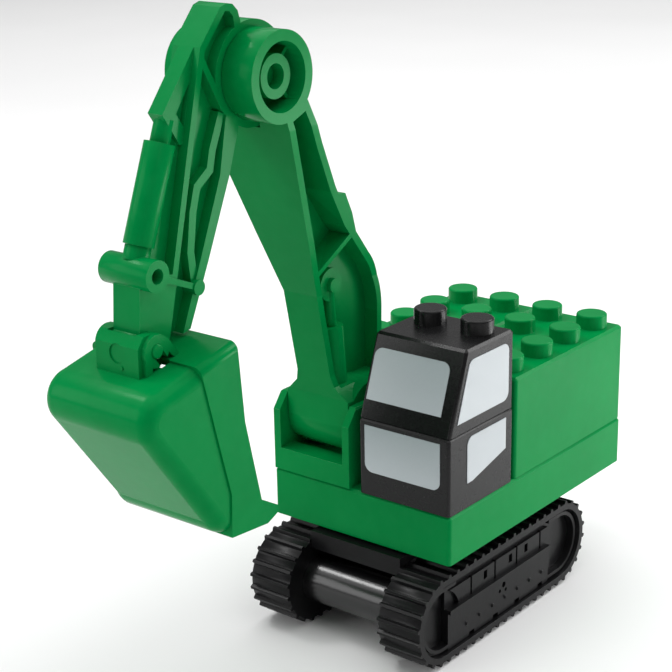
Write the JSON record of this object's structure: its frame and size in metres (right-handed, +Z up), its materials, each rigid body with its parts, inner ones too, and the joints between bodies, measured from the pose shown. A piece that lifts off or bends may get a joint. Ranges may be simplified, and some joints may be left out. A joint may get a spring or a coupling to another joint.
{
  "type": "toy excavator",
  "caption": "Chunky toy digger: tracked undercarriage, studded body that slews, stepped cab block with printed windows, and a hinged boom, stick and bucket.",
  "frame": {"origin": "centre of the bounding box's base, on the ground plane under the toy", "axes": "+Z up; -Y is forward, the way the tracks drive and the bucket reaches; +X is the cab side"},
  "size_m": [0.068, 0.1794, 0.1869],
  "materials": {
    "green_plastic": "glossy moulded green plastic",
    "black_plastic": "semi-gloss moulded black plastic",
    "roller_plastic": "satin black plastic",
    "window_print": "pale grey printed panel",
    "fastener_steel": "zinc plated steel"
  },
  "bodies": {
    "undercarriage": {"chassis_frame": "black_plastic", "chassis_underplate": "black_plastic", "underplate_screws": "fastener_steel", "front_cross_tube": "black_plastic", "rear_cross_tube": "black_plastic", "arm_side_track_shell": "black_plastic", "cab_side_track_shell": "black_plastic", "arm_side_track_cover": "black_plastic", "cab_side_track_cover": "black_plastic", "roller_pins": "fastener_steel"},
    "arm_side_front_wheel": {"arm_side_front_roller": "roller_plastic"},
    "arm_side_rear_wheel": {"arm_side_rear_roller": "roller_plastic"},
    "cab_side_front_wheel": {"cab_side_front_roller": "roller_plastic"},
    "cab_side_rear_wheel": {"cab_side_rear_roller": "roller_plastic"},
    "house": {"deck": "green_plastic", "slew_hub": "black_plastic", "slew_retainer_washer": "black_plastic", "slew_screw": "fastener_steel", "arm_side_body_brick": "green_plastic", "cab_side_body_brick": "green_plastic", "cab_lower_block": "black_plastic", "cab_upper_block": "black_plastic", "boom_bracket": "green_plastic", "boom_pivot_pin": "green_plastic", "front_upper_window": "window_print", "front_lower_window": "window_print", "side_upper_window": "window_print", "side_lower_window": "window_print"},
    "boom": {"boom": "green_plastic", "stick_pivot_pin": "green_plastic"},
    "stick": {"stick": "green_plastic", "bucket_pin": "green_plastic"},
    "bucket": {"bucket": "green_plastic"}
  },
  "joints": [
    {"name": "slew", "type": "hinge", "parent": "undercarriage", "child": "house", "pos_m": [0.00255, 0.0268, 0.0358], "axis": [0, 0, 1], "continuous": true},
    {"name": "boom_lift", "type": "hinge", "parent": "house", "child": "boom", "pos_m": [-0.01465, 0.0094, 0.0628], "axis": [1, 0, 0], "range_deg": [-5, 25]},
    {"name": "stick_swing", "type": "hinge", "parent": "boom", "child": "stick", "pos_m": [-0.01465, -0.031, 0.1681], "axis": [1, 0, 0], "range_deg": [-50, 10]},
    {"name": "bucket_curl", "type": "hinge", "parent": "stick", "child": "bucket", "pos_m": [-0.01465, -0.0747, 0.106], "axis": [1, 0, 0], "range_deg": [-16, 1]},
    {"name": "arm_side_front_spin", "type": "hinge", "parent": "undercarriage", "child": "arm_side_front_wheel", "pos_m": [-0.02015, 0.0008, 0.0065], "axis": [1, 0, 0], "continuous": true},
    {"name": "arm_side_rear_spin", "type": "hinge", "parent": "undercarriage", "child": "arm_side_rear_wheel", "pos_m": [-0.02015, 0.0508, 0.0065], "axis": [1, 0, 0], "continuous": true},
    {"name": "cab_side_front_spin", "type": "hinge", "parent": "undercarriage", "child": "cab_side_front_wheel", "pos_m": [0.02525, 0.0008, 0.0065], "axis": [1, 0, 0], "continuous": true},
    {"name": "cab_side_rear_spin", "type": "hinge", "parent": "undercarriage", "child": "cab_side_rear_wheel", "pos_m": [0.02525, 0.0508, 0.0065], "axis": [1, 0, 0], "continuous": true}
  ]
}
